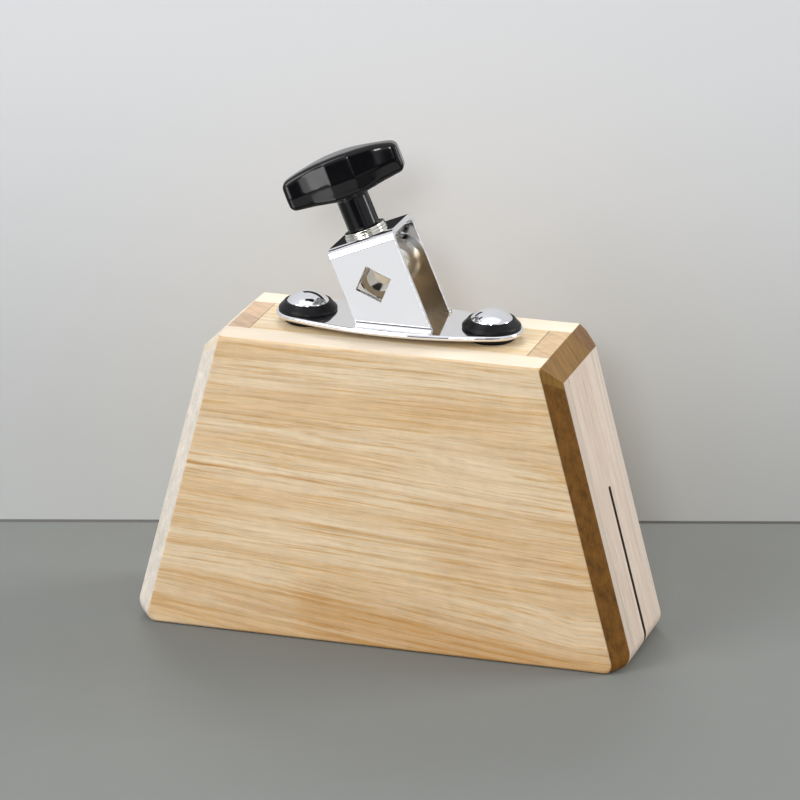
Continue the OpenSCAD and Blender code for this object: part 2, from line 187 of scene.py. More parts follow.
block_middle = (0, 0, 0.08)
plate_middle = (0, 0, 0.1)
key_place = (-1.2, -1.5, 1.5)
key_size = 1.3
key_power = 28
rim_place = (1.55, 0.75, 0.75)
rim_size = 0.9
rim_power = 19
top_place = (-0.35, 0.8, 0.95)
top_size = 0.4
top_power = 5
near_place = (0.36, -1.86, 0.93)
near_size = 0.3
near_power = 8
room_fill = 0.55
room_seen = (0.76, 0.76, 0.78, 1)
card_side = 0.7
card_near = -0.27
card_turn = -0.62
card_far = -1.5
white_grey = 0.86
dark_grey = 0.03
strip_left = (-0.62, -0.96)
strip_middle = (-0.36, -1.09)
strip_right = (-0.17, -1.18)
strip_foot = 1 * mm
strip_top = 0.34
bright_strip_grey = 6.5
dim_strip_grey = 3.2
low_strip_grey = 3.0
ceiling_side = 0.9
ceiling_height = 1.6
ceiling_grey = 1.1


def softbox(name, place, aim, size, power):
    """A square soft lamp at a place, turned to a point."""
    lamp = bpy.data.lights.new(name, "AREA")
    lamp.shape = "SQUARE"
    lamp.size = size
    lamp.energy = power
    made = bpy.data.objects.new(name, lamp)
    made.location = place
    made.rotation_mode = "QUATERNION"
    made.rotation_quaternion = (Vector(aim) - Vector(place)).to_track_quat("-Z", "Y")
    made.visible_camera = False
    scene.collection.objects.link(made)
    return made


def reflected_card(name, corners, grey):
    """A card that only reflections show."""
    material, tree = empty_material(name)
    glow = place_node(tree, "ShaderNodeEmission", {"Color": (grey, grey, grey, 1)})
    finish_material(tree, glow.outputs[0])
    made = card(name, corners, material)
    made.visible_camera = False
    made.visible_diffuse = False
    made.visible_shadow = False
    return made


def level_card(name, left, right, near, far, height, grey):
    """A reflected card that lies level."""
    reflected_card(name, [
        (left, near, height), (right, near, height), (right, far, height), (left, far, height)], grey)


def upright_card(name, start, end, foot, top, grey):
    """A reflected card that stands on the line from one place to another."""
    reflected_card(name, [(*start, foot), (*start, top), (*end, top), (*end, foot)], grey)


softbox("key_light", key_place, block_middle, key_size, key_power)
softbox("rim_light", rim_place, block_middle, rim_size, rim_power)
softbox("top_light", top_place, plate_middle, top_size, top_power)
softbox("near_light", near_place, plate_middle, near_size, near_power)
level_card("white_card", -card_side, card_side, card_turn, card_near, 0, white_grey)
level_card("dark_floor_card", -card_side, card_side, card_far, card_turn, 0, dark_grey)
upright_card("dark_front_card", start=(-0.62, card_far), end=(0.75, card_far), foot=0, top=0.52,
             grey=dark_grey)
upright_card("dark_right_card", start=(0.55, card_far), end=(1.6, card_far), foot=0.36, top=1.3,
             grey=dark_grey)
upright_card("bright_strip", strip_left, strip_middle, strip_foot, strip_top, bright_strip_grey)
upright_card("dim_strip", strip_middle, strip_right, strip_foot, strip_top, dim_strip_grey)
level_card("low_strip", left=-0.16, right=-0.05, near=-0.30, far=-0.16, height=0.2 * mm,
           grey=low_strip_grey)
level_card("white_ceiling", -ceiling_side, ceiling_side, -ceiling_side, ceiling_side, ceiling_height,
           ceiling_grey)
upright_card("dark_flag", start=(-0.055, 0.034), end=(0.004, 0.034), foot=0.142, top=0.159,
             grey=dark_grey)

room = bpy.data.worlds.new("room")
room.use_nodes = True
tree = room.node_tree
tree.nodes.clear()
ray = place_node(tree, "ShaderNodeLightPath")
seen = place_node(tree, "ShaderNodeMath", {
    0: ray.outputs["Is Camera Ray"], 1: ray.outputs["Is Glossy Ray"]}, operation="MAXIMUM")
seen = place_node(tree, "ShaderNodeMath", {
    0: seen.outputs[0], 1: ray.outputs["Is Transmission Ray"]}, operation="MAXIMUM")
fill_light = place_node(tree, "ShaderNodeBackground", {"Color": (1, 1, 1, 1), "Strength": room_fill})
pale_room = place_node(tree, "ShaderNodeBackground", {"Color": room_seen, "Strength": 1})
place_node(tree, "ShaderNodeOutputWorld", {0: place_node(tree, "ShaderNodeMixShader", {
    0: seen.outputs[0], 1: fill_light.outputs[0], 2: pale_room.outputs[0]}).outputs[0]})
scene.world = room

# Front panel. A 12 mm ash board, plain sawn, with its long grain across the
# block and sagging to the right. Its slanted edges are planed to a 6 mm flat, its
# outer edges are eased, and it is glued to the rails and boards behind it.

block_w = 190 * mm
block_top_w = 131 * mm
block_h = 113 * mm
side_lean = math.atan((block_w - block_top_w) / 2 / block_h)
corner_cut_w = 5.5 * mm
corner_cut_h = 6.5 * mm
foot_r = 6 * mm
mating_y = 15 * mm
panel_t = 12 * mm
face_y = mating_y + panel_t
front_flat = 6 * mm
back_flat = 4.5 * mm
panel_edge = 1.3 * mm
flat_ease = 0.8 * mm
corner_ease = 1.0 * mm
nose_r = 2.4 * mm
seam_edge = 0.16 * mm
foot_draw_in = 0.45
least_cut = 0.3 * mm
foot_steps = 10
ease_steps = 3
nose_steps = 7
flat_steps = 5
edge_steps = 7
nose_foot_at_face = 107.9 * mm
nose_foot_at_flat = 103.9 * mm
nose_foot_soft = 0.6 * mm
sag_across = (-88 * mm, 75 * mm)
sag_begins = (88 * mm, 66 * mm)
sag_doubles = (30 * mm, 6 * mm)
line_waver = 2.2 * mm
line_start_soft = 6 * mm
line_stop_soft = 12 * mm
line_red = (0.58, 0.295, 0.085)
# Top faces are painted this paler colour as the sheen of the light from above.
top_painted_sheen = (0.84, 0.76, 0.64)
grain_shift = (0.37, 0.11, 0.23)


def meeting(a, b):
    """Where two lines meet, each given by its outward direction and its distance."""
    turn = a[0] * b[1] - a[1] * b[0]
    return Vector(((a[2] * b[1] - b[2] * a[1]) / turn, (a[0] * b[2] - b[0] * a[2]) / turn))


def rounded_corner(before, corner, after, radius, steps):
    """Places that round off a corner of an outline."""
    a = (before - corner).normalized()
    b = (after - corner).normalized()
    half = math.acos(max(-1, min(1, a.dot(b)))) / 2
    centre = corner + (a + b).normalized() * radius / math.sin(half)
    start = corner + a * radius / math.tan(half) - centre
    stop = corner + b * radius / math.tan(half) - centre
    swept = start.angle_signed(stop)
    return [centre + Matrix.Rotation(-swept * k / steps, 2) @ start for k in range(steps + 1)]


def board_outline(side_in, end_in):
    """The board's outline with its slanted sides and its other edges moved in."""
    side = (math.cos(side_lean), math.sin(side_lean), block_w / 2 * math.cos(side_lean) - side_in)
    cut_top = Vector((block_top_w / 2 - corner_cut_w, block_h))
    cut_foot = block_h - corner_cut_h
    cut_side = Vector((block_w / 2 - cut_foot * math.tan(side_lean), cut_foot))
    outward = Vector((cut_top.y - cut_side.y, cut_side.x - cut_top.x)).normalized()
    cut = (outward.x, outward.y, outward.dot(cut_top) - end_in)
    top = (0, 1, block_h - end_in)
    foot = meeting(side, (0, -1, -end_in))
    shoulder = meeting(side, cut)
    nose = meeting(cut, top)
    below = Vector((0, foot.y))
    above = Vector((0, nose.y))
    rounded_r = foot_r - foot_draw_in * side_in
    half = rounded_corner(below, foot, meeting(side, top), rounded_r, foot_steps)
    if shoulder.x - nose.x > least_cut:
        ease = min(corner_ease, 0.9 * (shoulder - nose).length)
        half += rounded_corner(foot, shoulder, nose, ease, ease_steps)
        half += rounded_corner(shoulder, nose, above, ease, ease_steps)
    else:
        half += rounded_corner(foot, meeting(side, top), above, nose_r, nose_steps)
    return half + [Vector((-v.x, v.y)) for v in reversed(half)]


def fall_away(radius, along):
    """How far a round of this radius falls away from its tangent."""
    return radius - math.sqrt(max(0, radius ** 2 - along ** 2))


def board(name, facing, flat):
    """A panel laid up from its outline, level by level from the seam to its face."""
    bend = flat_ease / math.tan(math.pi / 8)
    start = panel_t - flat
    soft = math.sqrt(0.5) * flat_ease
    face = panel_t - panel_edge
    depths = [0, 0.3 * seam_edge, seam_edge]
    depths += [start - flat_ease + k * (flat_ease + soft) / flat_steps for k in range(flat_steps + 1)]
    depths += [face + panel_edge * math.sin(math.pi / 2 * k / edge_steps) for k in range(edge_steps + 1)]
    places = []
    for depth in depths:
        seam = max(0, seam_edge - depth)
        if depth <= start - flat_ease:
            side_in = seam
        elif depth <= start + soft + 1e-9:
            side_in = fall_away(bend, depth - start + flat_ease)
        elif depth <= panel_t - soft:
            side_in = depth - start
        else:
            side_in = flat + flat_ease - bend + fall_away(bend, depth - panel_t + bend)
        end_in = seam if depth < face else fall_away(panel_edge, depth - face)
        places += [(v.x, facing * (mating_y + depth), v.y) for v in board_outline(side_in, end_in)]
    around = len(places) // len(depths)
    faces = [tuple(range(around)), tuple(range(len(places) - around, len(places)))]
    for k in range(len(depths) - 1):
        low, high = k * around, (k + 1) * around
        faces += [
            (low + i, low + (i + 1) % around, high + (i + 1) % around, high + i) for i in range(around)]
    solid = bmesh.new()
    for place in places:
        solid.verts.new(place)
    solid.verts.ensure_lookup_table()
    for face in faces:
        solid.faces.new([solid.verts[i] for i in face]).smooth = True
    bmesh.ops.recalc_face_normals(solid, faces=solid.faces)
    mesh = bpy.data.meshes.new(name)
    solid.to_mesh(mesh)
    solid.free()
    made = bpy.data.objects.new(name, mesh)
    scene.collection.objects.link(made)
    flat_faces = made.modifiers.new("flat faces", "WEIGHTED_NORMAL")
    flat_faces.weight = 80
    return made


def dress(piece, body, node, material):
    """Gives a piece its finish and its body, and hides the CAD node that it stands for."""
    piece.data.materials.clear()
    piece.data.materials.append(material)
    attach(piece, body)
    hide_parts(node)
    return piece


def new_group(name, inputs, outputs):
    """A shader node group with named sockets. Returns its tree, inputs and outputs."""
    group = bpy.data.node_groups.new(name, "ShaderNodeTree")
    for socket, kind, value in inputs:
        made = group.interface.new_socket(socket, in_out="INPUT", socket_type="NodeSocket" + kind)
        made.default_value = value
    for socket, kind in outputs:
        group.interface.new_socket(socket, in_out="OUTPUT", socket_type="NodeSocket" + kind)
    return group, group.nodes.new("NodeGroupInput").outputs, group.nodes.new("NodeGroupOutput").inputs


def place_group(tree, group, inputs):
    return place_node(tree, "ShaderNodeGroup", inputs, node_tree=group).outputs


def maths(tree, operation, a, b=0.0, clamp=False):
    return place_node(tree, "ShaderNodeMath", {0: a, 1: b}, operation=operation, use_clamp=clamp).outputs[0]


def noise(tree, place, detail=2.0, roughness=0.5):
    return place_node(tree, "ShaderNodeTexNoise", {
        "Vector": place, "Scale": 1, "Detail": detail, "Roughness": roughness}).outputs["Fac"]


def scaled(tree, place, factors):
    return place_node(tree, "ShaderNodeVectorMath", {0: place, 1: factors}, operation="MULTIPLY").outputs[0]


def combined(tree, x, y, z=0.0):
    return place_node(tree, "ShaderNodeCombineXYZ", {"X": x, "Y": y, "Z": z}).outputs[0]


# Turns places into the board's own axes, X along its grain, shifted by its seed.
board_axes, given, gives = new_group(
    "board_axes",
    [("Turn", "Float", 0.0), ("Seed", "Float", 0.0)],
    [("Place", "Vector"), ("Shifted", "Vector"), ("Along", "Float")])
t = board_axes
where = place_node(t, "ShaderNodeTexCoord")
turned = place_node(t, "ShaderNodeVectorRotate", {
    "Vector": where.outputs["Object"], "Angle": given["Turn"]}, rotation_type="Y_AXIS").outputs[0]
t.links.new(turned, gives["Place"])
shift = place_node(t, "ShaderNodeVectorMath", {0: grain_shift}, operation="SCALE")
t.links.new(given["Seed"], shift.inputs["Scale"])
t.links.new(place_node(t, "ShaderNodeVectorMath", {
    0: turned, 1: shift.outputs[0]}, operation="ADD").outputs[0], gives["Shifted"])
facing = place_node(t, "ShaderNodeVectorRotate", {
    "Vector": where.outputs["Normal"], "Angle": given["Turn"]}, rotation_type="Y_AXIS").outputs[0]
along_grain = place_node(t, "ShaderNodeSeparateXYZ", {0: facing}).outputs["X"]
t.links.new(maths(t, "ABSOLUTE", along_grain), gives["Along"])

# Ash: each year's ring starts with a sharp, open-pored line and fades out, and
# streaks, fibres and pores run along it. Sag draws the rings down to the right, from
# the upper part of the board on, and twice as much at its foot.
ash_grain, given, gives = new_group(
    "ash_grain",
    [("Place", "Vector", (0, 0, 0)), ("Shifted", "Vector", (0, 0, 0)), ("Sag", "Float", 0.0),
     ("Ring Width", "Float", 0.006), ("Slope Y", "Float", 0.2), ("Slope Z", "Float", 1.0),
     ("Waviness", "Float", 0.003)],
    [(name, "Float") for name in ("Level", "Band", "Line", "Streak", "Fibre", "Pore")])
t = ash_grain
at = place_node(t, "ShaderNodeSeparateXYZ", {0: given["Place"]}).outputs
far = place_node(t, "ShaderNodeSeparateXYZ", {0: given["Shifted"]}).outputs
sagged = maths(t, "MULTIPLY", ramp(t, at["X"], *sag_across, kind="LINEAR"), given["Sag"])
downward = maths(t, "ADD", ramp(t, at["Z"], *sag_begins), ramp(t, at["Z"], *sag_doubles))
sagged = maths(t, "MULTIPLY", sagged, downward)
wobble = maths(t, "SUBTRACT", noise(t, scaled(t, given["Shifted"], (11, 20, 30)), 2.5), 0.5)
wobble = maths(t, "MULTIPLY", wobble, given["Waviness"])
leaning = maths(t, "ADD", maths(t, "MULTIPLY", at["Y"], given["Slope Y"]),
                maths(t, "MULTIPLY", at["Z"], given["Slope Z"]))
level = maths(t, "ADD", leaning, maths(t, "ADD", sagged, wobble))
t.links.new(level, gives["Level"])
across = maths(t, "ADD", level, maths(t, "SUBTRACT", far["Z"], at["Z"]))
ring = maths(t, "DIVIDE", across, given["Ring Width"])
year = maths(t, "FLOOR", ring)
season = maths(t, "FRACT", ring)
early = maths(t, "MULTIPLY", ramp(t, season, 0.0, 0.04), ramp(t, season, 0.04, 0.34, 1.0, 0.0))
year_strength = place_node(
    t, "ShaderNodeTexWhiteNoise", {"W": year}, noise_dimensions="1D").outputs["Value"]
along_strength = noise(t, combined(
    t, maths(t, "MULTIPLY", far["X"], 17), maths(t, "MULTIPLY", year, 5.3)), 2)
strength = maths(t, "MULTIPLY", ramp(t, year_strength, 0.0, 1.0, 0.45, 1.0, "LINEAR"),
                 ramp(t, along_strength, 0.36, 0.64, 0.1, 1.0))
t.links.new(maths(t, "MULTIPLY", early, strength), gives["Line"])
band = noise(t, combined(
    t, maths(t, "MULTIPLY", far["X"], 6.0), maths(t, "MULTIPLY", across, 85.0)), 3, 0.55)
t.links.new(ramp(t, band, 0.32, 0.68), gives["Band"])
streak = noise(t, combined(
    t, maths(t, "MULTIPLY", far["X"], 19.0), maths(t, "MULTIPLY", across, 760.0),
    maths(t, "MULTIPLY", far["Y"], 60.0)), 4, 0.68)
t.links.new(ramp(t, streak, 0.49, 0.66), gives["Streak"])
fibre_place = combined(
    t, maths(t, "MULTIPLY", far["X"], 75.0), maths(t, "MULTIPLY", across, 2100.0),
    maths(t, "MULTIPLY", far["Y"], 2100.0))
t.links.new(noise(t, fibre_place, 2.5, 0.65), gives["Fibre"])
pore_place = combined(
    t, maths(t, "MULTIPLY", far["X"], 210.0), maths(t, "MULTIPLY", across, 3600.0),
    maths(t, "MULTIPLY", far["Y"], 3600.0))
pored = maths(t, "MAXIMUM", maths(t, "MULTIPLY", early, 0.9), ramp(t, streak, 0.45, 0.66, 0.15, 0.9))
t.links.new(maths(t, "MULTIPLY", ramp(t, noise(t, pore_place, 1), 0.56, 0.70), pored), gives["Pore"])

# One long growth line at a level of the grain, from one place along it to another.
growth_line, given, gives = new_group(
    "growth_line",
    [("Place", "Vector", (0, 0, 0)), ("Level", "Float", 0.0), ("At", "Float", 0.0),
     ("Thickness", "Float", 0.001), ("From", "Float", 0.0), ("To", "Float", 0.0)],
    [("Mark", "Float")])
t = growth_line
x = place_node(t, "ShaderNodeSeparateXYZ", {0: given["Place"]}).outputs["X"]
waver = maths(t, "SUBTRACT", noise(t, scaled(t, given["Place"], (55, 1, 1)), 3), 0.5)
waver = maths(t, "MULTIPLY", waver, line_waver)
away = maths(t, "ABSOLUTE", maths(t, "SUBTRACT", maths(t, "ADD", given["Level"], waver), given["At"]))
core = ramp(t, maths(t, "DIVIDE", away, given["Thickness"]), 0.0, 1.0, 1.0, 0.0)
starts = ramp(t, maths(t, "SUBTRACT", x, given["From"]), -line_start_soft, line_start_soft)
stops = ramp(t, maths(t, "SUBTRACT", given["To"], x), -line_stop_soft, line_stop_soft)
t.links.new(maths(t, "MULTIPLY", core, maths(t, "MULTIPLY", starts, stops)), gives["Mark"])

# Where the board is cut across its grain: the side, the cut corner and the flats.
# Top tells its upper edge, and Right tells its right half from its left one.
board_faces, given, gives = new_group(
    "board_faces", [], [(name, "Float") for name in ("Side", "Cut", "Flat", "Top", "Right")])
t = board_faces
where = place_node(t, "ShaderNodeTexCoord")
facing = place_node(t, "ShaderNodeSeparateXYZ", {0: where.outputs["Normal"]}).outputs
sideways = maths(t, "ABSOLUTE", facing["X"])
cut_across = ramp(t, sideways, 0.32, 0.54)
place = place_node(t, "ShaderNodeSeparateXYZ", {0: where.outputs["Object"]}).outputs
nose_foot = ramp(t, place["Y"], -face_y, front_flat - face_y, nose_foot_at_face,
                 nose_foot_at_flat, "LINEAR")
above_foot = maths(t, "SUBTRACT", place["Z"], nose_foot)
on_nose = ramp(t, above_foot, -nose_foot_soft, nose_foot_soft)
on_nose = maths(t, "MULTIPLY", on_nose, ramp(t, facing["Y"], -0.2, -0.4))
t.links.new(ramp(t, sideways, 0.86, 0.95), gives["Side"])
t.links.new(ramp(t, facing["Z"], 0.75, 0.97), gives["Top"])
t.links.new(maths(t, "MULTIPLY", cut_across, maths(
    t, "MAXIMUM", on_nose, ramp(t, facing["Z"], 0.27, 0.40))), gives["Cut"])
t.links.new(maths(t, "MULTIPLY", cut_across, ramp(
    t, maths(t, "ABSOLUTE", facing["Y"]), 0.2, 0.4)), gives["Flat"])
t.links.new(ramp(t, place["X"], -0.01, 0.01), gives["Right"])

# The look of cut ends: stripes down the slope, blotches and open pores.
end_marks, given, gives = new_group(
    "end_marks", [("Seed", "Float", 0.0)],
    [(name, "Float") for name in ("Stripe", "Blotch", "Speck", "Cross")])
t = end_marks
where = place_node(t, "ShaderNodeTexCoord").outputs["Object"]
moved = place_node(t, "ShaderNodeVectorMath", {
    0: where, 1: combined(t, given["Seed"], 0.0)}, operation="ADD").outputs[0]
t.links.new(noise(t, scaled(t, moved, (22, 900, 22)), 2, 0.6), gives["Stripe"])
t.links.new(noise(t, scaled(t, moved, (170, 420, 170)), 4, 0.7), gives["Blotch"])
t.links.new(noise(t, scaled(t, moved, (1300, 2300, 1300)), 1), gives["Speck"])
slanting = place_node(t, "ShaderNodeVectorRotate", {
    "Vector": moved, "Angle": math.radians(38)}, rotation_type="Z_AXIS")
t.links.new(noise(t, scaled(t, slanting.outputs[0], (30, 520, 120)), 2, 0.6), gives["Cross"])


def shaded(tree, colour, *factors):
    """A colour times one or more shade values."""
    shade = factors[0]
    for factor in factors[1:]:
        shade = maths(tree, "MULTIPLY", shade, factor)
    grey = place_node(tree, "ShaderNodeCombineColor", {0: shade, 1: shade, 2: shade}).outputs[0]
    return mix_colour(tree, 1.0, colour, grey, "MULTIPLY")


def mix_value(tree, factor, a, b):
    return ramp(tree, factor, 0, 1, a, b, "LINEAR")


def ash_finish(name, turn=0.0, seed=0.0, sag=0.0, slope=(0.25, 1.0), ring_width=0.0073, waviness=0.0026,
               light=(0.86, 0.69, 0.475), dark=(0.775, 0.55, 0.315), streak=(0.68, 0.40, 0.145),
               line=(0.53, 0.30, 0.10), lines=(), ends=None, end=(0.50, 0.345, 0.19),
               slot_shade=None, glue_and_gap_shade=None, cut=None):
    """Lacquered ash for one board, with its own grain and the colours of its cut ends. Given ends, its top
    is painted paler and its left ends pale, both as sheen; the slot and the seam gap can get painted shade.
    """
    material, tree = empty_material(name)
    axes = place_group(tree, board_axes, {"Turn": turn, "Seed": seed})
    grain = place_group(tree, ash_grain, {
        "Place": axes["Place"], "Shifted": axes["Shifted"], "Sag": sag, "Ring Width": ring_width,
        "Slope Y": slope[0], "Slope Z": slope[1], "Waviness": waviness})
    marks = place_group(tree, end_marks, {"Seed": seed})
    tone = mix_colour(tree, grain["Band"], (*light, 1), (*dark, 1))
    tone = mix_colour(tree, maths(tree, "MULTIPLY", grain["Streak"], 0.80), tone, (*streak, 1))
    tone = mix_colour(tree, maths(tree, "MULTIPLY", grain["Line"], 0.50), tone, (*line, 1))
    for at, thickness, start, stop, depth in lines:
        mark = place_group(tree, growth_line, {
            "Place": axes["Place"], "Level": grain["Level"], "At": at - slope[0] * face_y,
            "Thickness": thickness, "From": start, "To": stop})
        broken = ramp(tree, grain["Streak"], 0, 1, 0.6, 1.0, "LINEAR")
        tone = mix_colour(tree, maths(tree, "MULTIPLY", maths(
            tree, "MULTIPLY", mark["Mark"], broken), depth), tone, (*line_red, 1))
    tone = shaded(tree, tone, ramp(tree, grain["Fibre"], 0.25, 0.75, 0.86, 1.11, "LINEAR"),
                  ramp(tree, grain["Pore"], 0, 1, 1.0, 0.85, "LINEAR"),
                  ramp(tree, marks["Blotch"], 0.3, 0.7, 0.955, 1.045, "LINEAR"))
    blotches = ramp(tree, marks["Blotch"], 0.3, 0.7, 0.84, 1.14, "LINEAR")
    specks = ramp(tree, marks["Speck"], 0.55, 0.75, 1.0, 0.86)
    crossing = ramp(tree, marks["Cross"], 0.3, 0.7, 0.72, 1.3, "LINEAR")
    if slot_shade or glue_and_gap_shade:
        at = place_node(tree, "ShaderNodeSeparateXYZ", {
            0: place_node(tree, "ShaderNodeTexCoord").outputs["Object"]}).outputs
    # Painted shade on the walls and floor of the saw slot.
    if slot_shade:
        beside = ramp(tree, maths(tree, "ABSOLUTE", at["Y"]), *slot_side_mark)
        above = ramp(tree, at["Z"], *slot_end_mark)
        tone = mix_colour(tree, maths(tree, "MAXIMUM", beside, above), (*slot_shade, 1), tone)
    # A glue line with painted shade of the gap at the top board's ends.
    if glue_and_gap_shade:
        at_end = ramp(tree, maths(tree, "ABSOLUTE", at["X"]), *gap_mark)
        in_gap = maths(tree, "MULTIPLY", at_end, ramp(tree, at["Z"], *gap_top_mark))
        tone = mix_colour(tree, maths(tree, "MULTIPLY", in_gap, 0.8), tone, (*glue_and_gap_shade, 1))
    if cut or ends:
        faces = place_group(tree, board_faces, {})
    if ends:
        stripes = ramp(tree, marks["Stripe"], 0.25, 0.75, 0.86, 1.13, "LINEAR")
        deep_blotches = ramp(tree, marks["Blotch"], 0.3, 0.7, 0.55, 1.4, "LINEAR")
        # The top faces are painted paler as the sheen of the light from above.
        tone = mix_colour(tree, maths(tree, "MULTIPLY", faces["Top"], 0.70), tone, (*top_painted_sheen, 1))
        # The left flat and cut corner are painted pale as the sheen of the light from the left.
        for face in ("Flat", "Cut", "Side"):
            left, right = ends[face]
            end_tone = mix_colour(tree, faces["Right"], (*left, 1), (*right, 1))
            if face == "Flat":
                mottle = mix_value(tree, faces["Right"], blotches, deep_blotches)
                end_tone = shaded(tree, end_tone, mottle, specks)
            elif face == "Cut":
                end_tone = shaded(tree, end_tone, crossing, specks)
            else:
                end_tone = shaded(tree, end_tone, stripes, specks)
            tone = mix_colour(tree, faces[face], tone, end_tone)
    else:
        end_tone = shaded(tree, (*end, 1), blotches, mix_value(tree, 0.5, 1.0, crossing), specks)
        tone = mix_colour(tree, ramp(tree, axes["Along"], 0.6, 0.8), tone, end_tone)
    # Cut corners: the left one painted pale as sheen, the right one dark end grain.
    if cut:
        cut_tone = mix_colour(tree, faces["Right"], (*cut[0], 1), (*cut[1], 1))
        tone = mix_colour(tree, faces["Cut"], tone, shaded(tree, cut_tone, crossing, specks))
    height = maths(tree, "SUBTRACT", maths(tree, "MULTIPLY", grain["Fibre"], 0.5), grain["Pore"])
    bump = place_node(tree, "ShaderNodeBump", {"Height": height, "Strength": 0.25, "Distance": 0.0001})
    lacquer = place_node(tree, "ShaderNodeBsdfPrincipled", {
        "Base Color": tone, "Normal": bump.outputs[0], "Specular IOR Level": 0.22,
        "Roughness": ramp(tree, grain["Fibre"], 0.2, 0.8, 0.30, 0.46, "LINEAR")})
    finish_material(tree, lacquer.outputs[0])
    return material


# Level of the grain, half thickness, from and to along the board, and depth.
front_lines = (
    (0.0645, 0.0012, -0.080, -0.020, 1.00),
    (0.0652, 0.0017, -0.030, 0.080, 0.50),
    (0.0215, 0.0010, -0.095, 0.060, 0.90),
    (0.0160, 0.0040, -0.075, 0.065, 0.35),
    (0.0150, 0.0020, -0.060, 0.050, 0.50),
    (0.0105, 0.0022, -0.030, 0.055, 0.75),
    (0.0055, 0.0028, -0.050, 0.070, 0.65),
    (0.0060, 0.0070, -0.020, 0.060, 0.35),
    (0.0075, 0.0012, -0.090, -0.030, 0.45),
    (0.1010, 0.0014, -0.064, -0.028, 0.55),
    (0.0940, 0.0022, -0.065, 0.070, 0.40),
    (0.0960, 0.0012, 0.010, 0.070, 0.50),
    (0.0820, 0.0022, -0.068, 0.075, 0.42),
    (0.0480, 0.0014, -0.080, 0.080, 0.35),
    (0.0340, 0.0012, -0.085, 0.080, 0.35),
    (0.0110, 0.0150, -0.120, 0.120, 0.30),
    (0.0190, 0.0150, -0.030, 0.120, 0.72),
    (0.0480, 0.0340, 0.020, 0.120, 0.26),
)
# The right flat and cut corner carry the dark end grain; the left ones are painted pale as the sheen of the
# light from the left.
panel_ends_with_left_sheen = {
    "Flat": ((0.80, 0.73, 0.64), (0.172, 0.074, 0.012)),
    "Cut": ((0.78, 0.68, 0.54), (0.218, 0.112, 0.024)),
    "Side": ((0.60, 0.50, 0.41), (0.60, 0.50, 0.41)),
}
dress(board("front_panel_board", -1, front_flat),
      "block", "front_panel",
      ash_finish("ash_front_panel", seed=1.0, sag=0.0090, lines=front_lines, ends=panel_ends_with_left_sheen))

# Back panel. The same board as the front one, from another part of the plank,
# with a narrower flat along its slanted edges.

# As on the front: the left ends painted pale as sheen, the right ones dark end grain.
back_ends_with_left_sheen = dict(
    panel_ends_with_left_sheen, Cut=((0.74, 0.62, 0.48), (0.17, 0.085, 0.03)),
    Side=((0.64, 0.54, 0.45), (0.66, 0.56, 0.47)))
dress(board("back_panel_board", 1, back_flat),
      "block", "back_panel", ash_finish("ash_back_panel", seed=3.0, sag=-0.006, ends=back_ends_with_left_sheen))

# Side rails. 13 mm ash strips between the panels, with straight, narrow grain
# along the slant. The saw slot runs up their lower half.

# Half the slot's width in the solids, and as the saw cut it.
slot_half = 0.9 * mm
slot_half_sawn = 1.2 * mm
slot_edge = 0.12 * mm
slot_edges_within = 1.4 * mm
same_place = 0.05 * mm
# The saw slot's inside is painted near black as its shade.
slot_painted_shade = (0.035, 0.022, 0.010)
slot_side_mark = (1.18 * mm, 1.3 * mm)
slot_end_mark = (61.3 * mm, 61.6 * mm)
weld_gap = 0.002 * mm


def softened(node, name, edge_radius, segments=4, sharper_than=20, reshape=None, clamped=True):
    """A copy of a CAD node with eased edges; edge_radius(middle, direction) is each edge's radius."""
    solid = bmesh.new()
    solid.from_mesh(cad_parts[node].data)
    bmesh.ops.remove_doubles(solid, verts=solid.verts, dist=weld_gap)
    bmesh.ops.dissolve_limit(
        solid, angle_limit=math.radians(0.2), verts=solid.verts, edges=solid.edges)
    if reshape:
        for vertex in solid.verts:
            vertex.co = reshape(vertex.co)
    weight = solid.edges.layers.float.new("bevel_weight_edge")
    radii = {}
    for edge in solid.edges:
        if len(edge.link_faces) == 2 and edge.calc_face_angle(0) > math.radians(sharper_than):
            ends = [v.co for v in edge.verts]
            radii[edge] = edge_radius((ends[0] + ends[1]) / 2, (ends[1] - ends[0]).normalized())
    widest = max(radii.values())
    for edge, radius in radii.items():
        edge[weight] = radius / widest
    for face in solid.faces:
        face.smooth = True
    mesh = bpy.data.meshes.new(name)
    solid.to_mesh(mesh)
    solid.free()
    for layer in ("custom_normal", "sharp_edge"):
        if layer in mesh.attributes:
            mesh.attributes.remove(mesh.attributes[layer])
    made = bpy.data.objects.new(name, mesh)
    scene.collection.objects.link(made)
    ease = made.modifiers.new("eased edges", "BEVEL")
    ease.limit_method = "WEIGHT"
    ease.width = widest
    ease.segments = segments
    ease.use_clamp_overlap = clamped
    flat = made.modifiers.new("flat faces", "WEIGHTED_NORMAL")
    flat.weight = 80
    return made


def open_slot(place):
    """Carries the slot's walls out to the full width of the saw's cut."""
    if abs(abs(place.y) - slot_half) < same_place:
        place = Vector((place.x, math.copysign(slot_half_sawn, place.y), place.z))
    return place


def rail_edge_radius(middle, direction):
    if abs(abs(middle.y) - mating_y) < same_place:
        return seam_edge
    if abs(middle.y) < slot_edges_within:
        return slot_edge
    return corner_ease if abs(direction.y) > 0.9 else seam_edge


